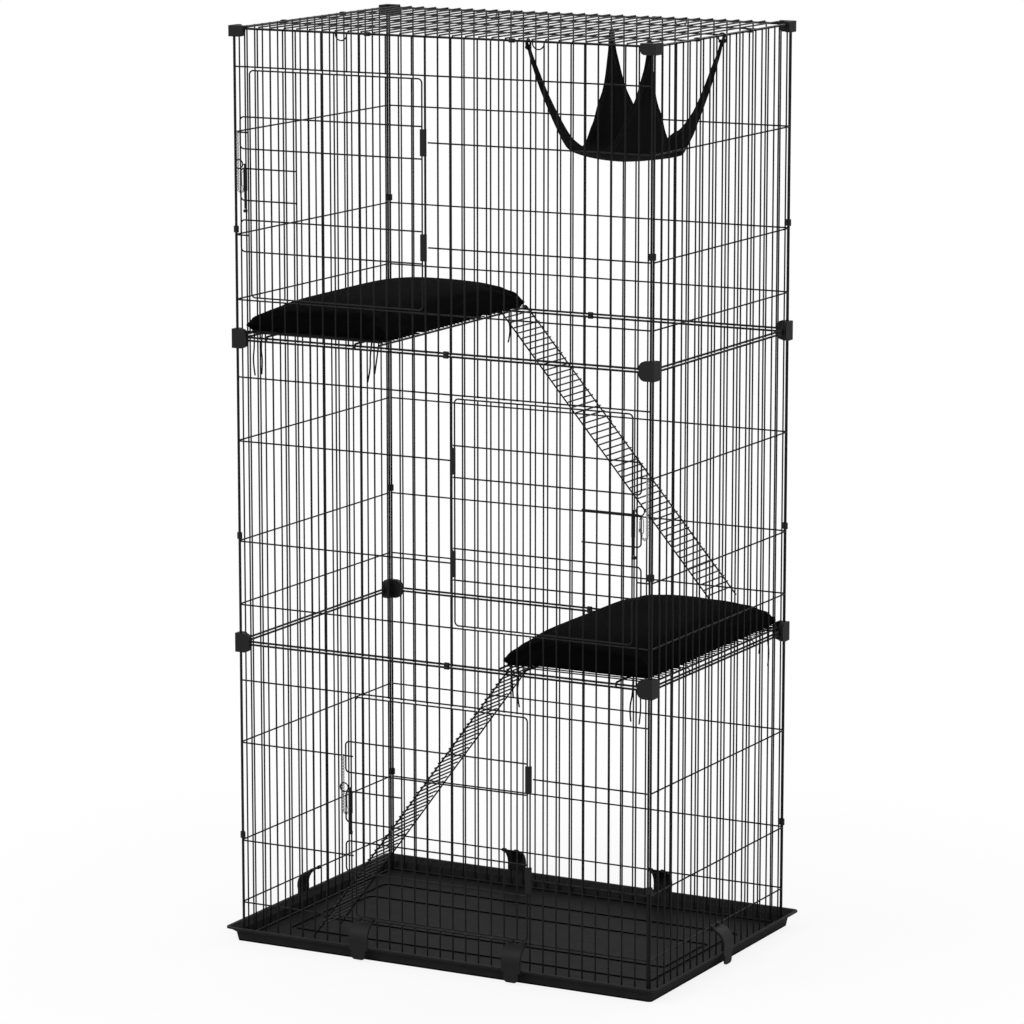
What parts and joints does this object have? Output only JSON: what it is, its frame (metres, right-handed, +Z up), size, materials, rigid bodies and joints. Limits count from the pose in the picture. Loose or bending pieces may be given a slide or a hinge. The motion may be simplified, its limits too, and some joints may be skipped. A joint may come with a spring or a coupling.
{
  "type": "cat cage",
  "caption": "Tall tiered wire cat cage on a tray, with swing doors, hooked shelves and ramps, cushions and a hammock.",
  "frame": {"origin": "on the floor, under the middle of the tray", "axes": "+X to the right seen from the front, the doors' front wall at -Y, +Z up"},
  "size_m": [0.9426, 0.6486, 1.7741],
  "materials": {
    "black_wire": "satin black powder coat",
    "black_plastic": "matt black moulded plastic",
    "tray_plastic": "matt black moulded plastic",
    "cushion_fabric": "black plain-woven cotton",
    "hammock_fabric": "black plain-woven cotton",
    "tie_cord": "black cotton tape",
    "chain_steel": "bright zinc plate"
  },
  "bodies": {
    "cage": {"back_panel_lower": "black_wire", "back_panel_middle": "black_wire", "back_panel_upper": "black_wire", "corner_clips": "black_plastic", "front_panel_lower": "black_wire", "front_panel_middle": "black_wire", "front_panel_upper": "black_wire", "hammock": "hammock_fabric", "hammock_rings": "black_plastic", "latch_keepers": "black_wire", "left_panel_lower": "black_wire", "left_panel_middle": "black_wire", "left_panel_upper": "black_wire", "lower_cushion": "cushion_fabric", "lower_cushion_ties": "tie_cord", "lower_shelf": "black_wire", "rail_clips": "black_plastic", "right_panel_lower": "black_wire", "right_panel_middle": "black_wire", "right_panel_upper": "black_wire", "roof_clips": "black_plastic", "roof_loops": "black_wire", "roof_panel": "black_wire", "safety_chain_lower": "chain_steel", "safety_chain_middle": "chain_steel", "safety_chain_upper": "chain_steel", "snap_hook_lower": "chain_steel", "snap_hook_middle": "chain_steel", "snap_hook_upper": "chain_steel", "tier_connectors": "black_plastic", "top_connectors": "black_plastic", "tray": "tray_plastic", "upper_cushion": "cushion_fabric", "upper_cushion_ties": "tie_cord", "upper_shelf": "black_wire"},
    "door_lower": {"door_lower": "black_wire", "door_hinges_lower": "black_wire", "latch_barrel_lower": "black_wire"},
    "latch_bolt_lower": {"latch_bolt_lower": "black_wire"},
    "snap_gate_lower": {"snap_gate_lower": "chain_steel"},
    "door_middle": {"door_middle": "black_wire", "door_hinges_middle": "black_wire", "latch_barrel_middle": "black_wire"},
    "latch_bolt_middle": {"latch_bolt_middle": "black_wire"},
    "snap_gate_middle": {"snap_gate_middle": "chain_steel"},
    "door_upper": {"door_upper": "black_wire", "door_hinges_upper": "black_wire", "latch_barrel_upper": "black_wire"},
    "latch_bolt_upper": {"latch_bolt_upper": "black_wire"},
    "snap_gate_upper": {"snap_gate_upper": "chain_steel"},
    "upper_ramp": {"upper_ramp": "black_wire"},
    "lower_ramp": {"lower_ramp": "black_wire"},
    "tray_hook_front_left": {"tray_hook_front_left": "black_plastic"},
    "tray_hook_front_right": {"tray_hook_front_right": "black_plastic"},
    "tray_hook_back_left": {"tray_hook_back_left": "black_plastic"},
    "tray_hook_back_right": {"tray_hook_back_right": "black_plastic"},
    "tray_hook_left": {"tray_hook_left": "black_plastic"},
    "tray_hook_right": {"tray_hook_right": "black_plastic"}
  },
  "joints": [
    {"name": "door_lower_swing", "type": "hinge", "parent": "cage", "child": "door_lower", "pos_m": [0.1925, -0.29655, 0.29655], "axis": [0, 0, 1], "range_deg": [0, 150]},
    {"name": "latch_bolt_lower_slide", "type": "slide", "parent": "door_lower", "child": "latch_bolt_lower", "axis": [0, 0, -1], "range_m": [0, 0.015]},
    {"name": "snap_gate_lower_swing", "type": "hinge", "parent": "cage", "child": "snap_gate_lower", "pos_m": [-0.1963, -0.2935, 0.29884], "axis": [0, -1, 0], "range_deg": [0, 22], "stiffness_Nm_per_rad": 0.002, "springref_deg": -17.19},
    {"name": "door_middle_swing", "type": "hinge", "parent": "cage", "child": "door_middle", "pos_m": [0.0275, -0.29655, 0.88555], "axis": [0, 0, -1], "range_deg": [0, 150]},
    {"name": "latch_bolt_middle_slide", "type": "slide", "parent": "door_middle", "child": "latch_bolt_middle", "axis": [0, 0, -1], "range_m": [0, 0.015]},
    {"name": "snap_gate_middle_swing", "type": "hinge", "parent": "cage", "child": "snap_gate_middle", "pos_m": [0.4163, -0.2935, 0.88784], "axis": [0, 1, 0], "range_deg": [0, 22], "stiffness_Nm_per_rad": 0.002, "springref_deg": -17.19},
    {"name": "door_upper_swing", "type": "hinge", "parent": "cage", "child": "door_upper", "pos_m": [-0.0275, -0.29655, 1.47455], "axis": [0, 0, 1], "range_deg": [0, 150]},
    {"name": "latch_bolt_upper_slide", "type": "slide", "parent": "door_upper", "child": "latch_bolt_upper", "axis": [0, 0, -1], "range_m": [0, 0.015]},
    {"name": "snap_gate_upper_swing", "type": "hinge", "parent": "cage", "child": "snap_gate_upper", "pos_m": [-0.4163, -0.2935, 1.47684], "axis": [0, -1, 0], "range_deg": [0, 22], "stiffness_Nm_per_rad": 0.002, "springref_deg": -17.19},
    {"name": "upper_ramp_lift", "type": "hinge", "parent": "cage", "child": "upper_ramp", "pos_m": [-0.128, 0.23621, 1.18715], "axis": [0, -1, 0], "range_deg": [0, 10]},
    {"name": "lower_ramp_lift", "type": "hinge", "parent": "cage", "child": "lower_ramp", "pos_m": [0.128, -0.17716, 0.59815], "axis": [0, 1, 0], "range_deg": [0, 12]},
    {"name": "tray_hook_front_left_swing", "type": "hinge", "parent": "cage", "child": "tray_hook_front_left", "pos_m": [-0.165, -0.2935, 0.07605], "axis": [-1, 0, 0], "range_deg": [0, 45]},
    {"name": "tray_hook_front_right_swing", "type": "hinge", "parent": "cage", "child": "tray_hook_front_right", "pos_m": [0.165, -0.2935, 0.07605], "axis": [-1, 0, 0], "range_deg": [0, 45]},
    {"name": "tray_hook_back_left_swing", "type": "hinge", "parent": "cage", "child": "tray_hook_back_left", "pos_m": [-0.165, 0.2935, 0.07605], "axis": [1, 0, 0], "range_deg": [0, 45]},
    {"name": "tray_hook_back_right_swing", "type": "hinge", "parent": "cage", "child": "tray_hook_back_right", "pos_m": [0.165, 0.2935, 0.07605], "axis": [1, 0, 0], "range_deg": [0, 45]},
    {"name": "tray_hook_left_swing", "type": "hinge", "parent": "cage", "child": "tray_hook_left", "pos_m": [-0.4405, -0.01395, 0.07605], "axis": [0, 1, 0], "range_deg": [0, 45]},
    {"name": "tray_hook_right_swing", "type": "hinge", "parent": "cage", "child": "tray_hook_right", "pos_m": [0.4405, -0.01395, 0.07605], "axis": [0, -1, 0], "range_deg": [0, 45]}
  ]
}
